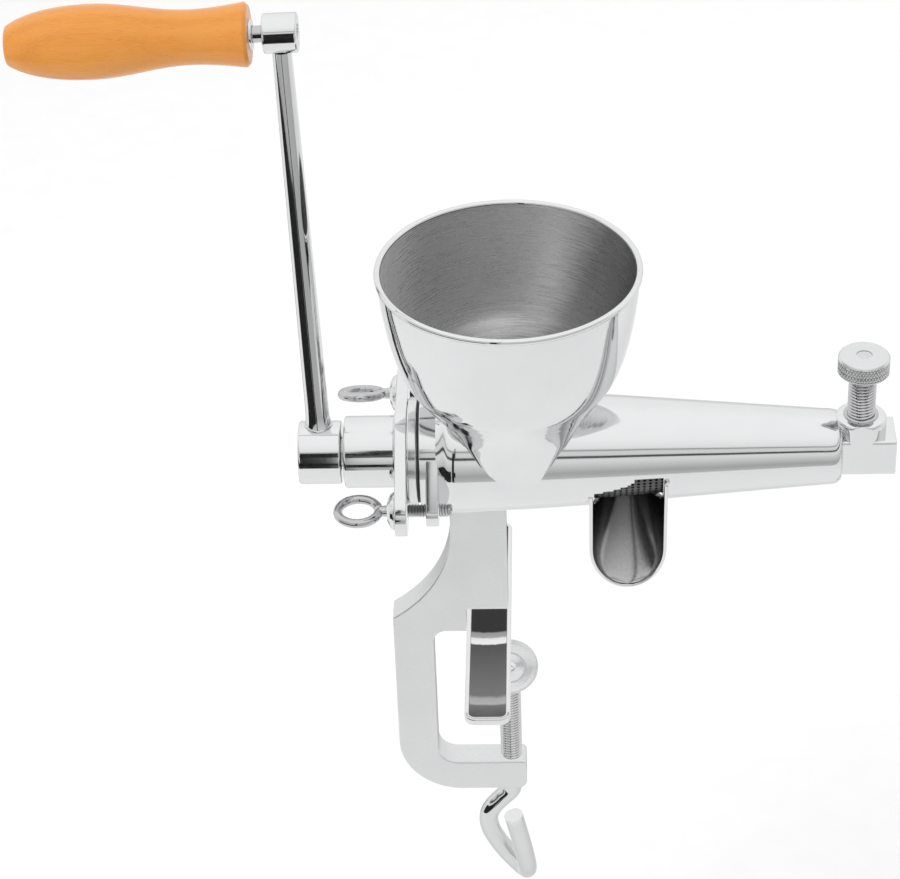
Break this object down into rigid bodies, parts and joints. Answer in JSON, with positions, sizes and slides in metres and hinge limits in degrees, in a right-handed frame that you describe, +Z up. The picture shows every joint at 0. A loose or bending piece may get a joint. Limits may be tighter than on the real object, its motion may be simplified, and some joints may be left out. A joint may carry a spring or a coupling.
{
  "type": "hand juicer",
  "caption": "Table-clamped hand-cranked auger juicer: round hopper on a tapered barrel, juice spout below, pulp outlet with a regulating screw at the nose.",
  "frame": {"origin": "middle of the underside of the clamp's upper jaw, on the face that rests on the table top", "axes": "+Z up, +X along the barrel towards its nose, -Y the side the juice spout opens to"},
  "size_m": [0.3616, 0.14, 0.4405],
  "materials": {
    "polished_steel": "mirror-polished stainless steel",
    "satin_steel": "satin stainless steel",
    "screw_steel": "machined stainless steel",
    "varnished_wood": "clear varnished beech with a warm orange tone",
    "black_rubber": "moulded matt",
    "bronze": "sintered bearing bronze",
    "nylon": "machined matt"
  },
  "bodies": {
    "body": {"barrel": "polished_steel", "hopper": "polished_steel", "juice_spout": "polished_steel", "clamp_frame": "satin_steel", "jaw_bar": "polished_steel", "bearing_cover": "polished_steel", "cover_ring": "polished_steel", "cover_gasket": "black_rubber", "bearing_bush": "bronze", "thrust_washer": "nylon", "strainer": "satin_steel"},
    "crank": {"auger": "satin_steel", "crank_hub": "polished_steel", "hub_set_screw": "screw_steel", "crank_arm": "polished_steel", "crank_head": "polished_steel", "grip_pin": "screw_steel", "grip_ferrule": "polished_steel"},
    "grip": {"wooden_grip": "varnished_wood"},
    "upper_collar": {"eyebolt_collar_upper": "polished_steel"},
    "upper_eyebolt": {"eyebolt_upper": "polished_steel"},
    "lower_collar": {"eyebolt_collar_lower": "polished_steel"},
    "lower_eyebolt": {"eyebolt_lower": "polished_steel"},
    "pulp_stem": {"pulp_screw": "polished_steel"},
    "pulp_knob": {"pulp_knob": "satin_steel"},
    "clamp_rivet": {"pad_rivet": "satin_steel"},
    "clamp_screw": {"clamp_screw": "satin_steel"},
    "clamp_pad": {"clamp_pad": "satin_steel"}
  },
  "joints": [
    {"name": "crank_turn", "type": "hinge", "parent": "body", "child": "crank", "pos_m": [0.012, 0, 0.094], "axis": [1, 0, 0], "continuous": true},
    {"name": "grip_spin", "type": "hinge", "parent": "crank", "child": "grip", "pos_m": [-0.077, 0.02623, 0.28067], "axis": [0.9995, 0, 0.0332], "continuous": true},
    {"name": "eyebolt_upper_travel", "type": "slide", "parent": "body", "child": "upper_collar", "axis": [1, 0, 0], "range_m": [-0.0021, 0.0001]},
    {"name": "eyebolt_upper_turn", "type": "hinge", "parent": "upper_collar", "child": "upper_eyebolt", "pos_m": [0.012, 0.02793, 0.10495], "axis": [1, 0, 0], "range_deg": [-720, 0]},
    {"name": "eyebolt_lower_travel", "type": "slide", "parent": "body", "child": "lower_collar", "axis": [1, 0, 0], "range_m": [-0.0021, 0.0001]},
    {"name": "eyebolt_lower_turn", "type": "hinge", "parent": "lower_collar", "child": "lower_eyebolt", "pos_m": [0.012, -0.02793, 0.08305], "axis": [1, 0, 0], "range_deg": [-720, 0]},
    {"name": "pulp_screw_travel", "type": "slide", "parent": "body", "child": "pulp_stem", "axis": [0, 0, 1], "range_m": [-0.0076, 0.0051]},
    {"name": "pulp_knob_turn", "type": "hinge", "parent": "pulp_stem", "child": "pulp_knob", "pos_m": [0.1592, 0, 0.136], "axis": [0, 0, 1], "range_deg": [-2160, 1440]},
    {"name": "clamp_travel", "type": "slide", "parent": "body", "child": "clamp_rivet", "axis": [0, 0, 1], "range_m": [-0.0346, 0.0001]},
    {"name": "clamp_turn", "type": "hinge", "parent": "clamp_rivet", "child": "clamp_screw", "pos_m": [0.0084, 0, -0.05], "axis": [0, 0, 1], "range_deg": [-8280, 0]},
    {"name": "pad_tilt", "type": "hinge", "parent": "clamp_rivet", "child": "clamp_pad", "pos_m": [0.0084, 0, -0.0275], "axis": [1, 0, 0], "range_deg": [-60, 0]}
  ],
  "couplings": [
    {"joint": "eyebolt_upper_travel", "follows": "eyebolt_upper_turn", "m_per_rad": 0.00015915},
    {"joint": "eyebolt_lower_travel", "follows": "eyebolt_lower_turn", "m_per_rad": 0.00015915},
    {"joint": "pulp_screw_travel", "follows": "pulp_knob_turn", "m_per_rad": 0.00019894},
    {"joint": "clamp_travel", "follows": "clamp_turn", "m_per_rad": 0.00023873}
  ]
}
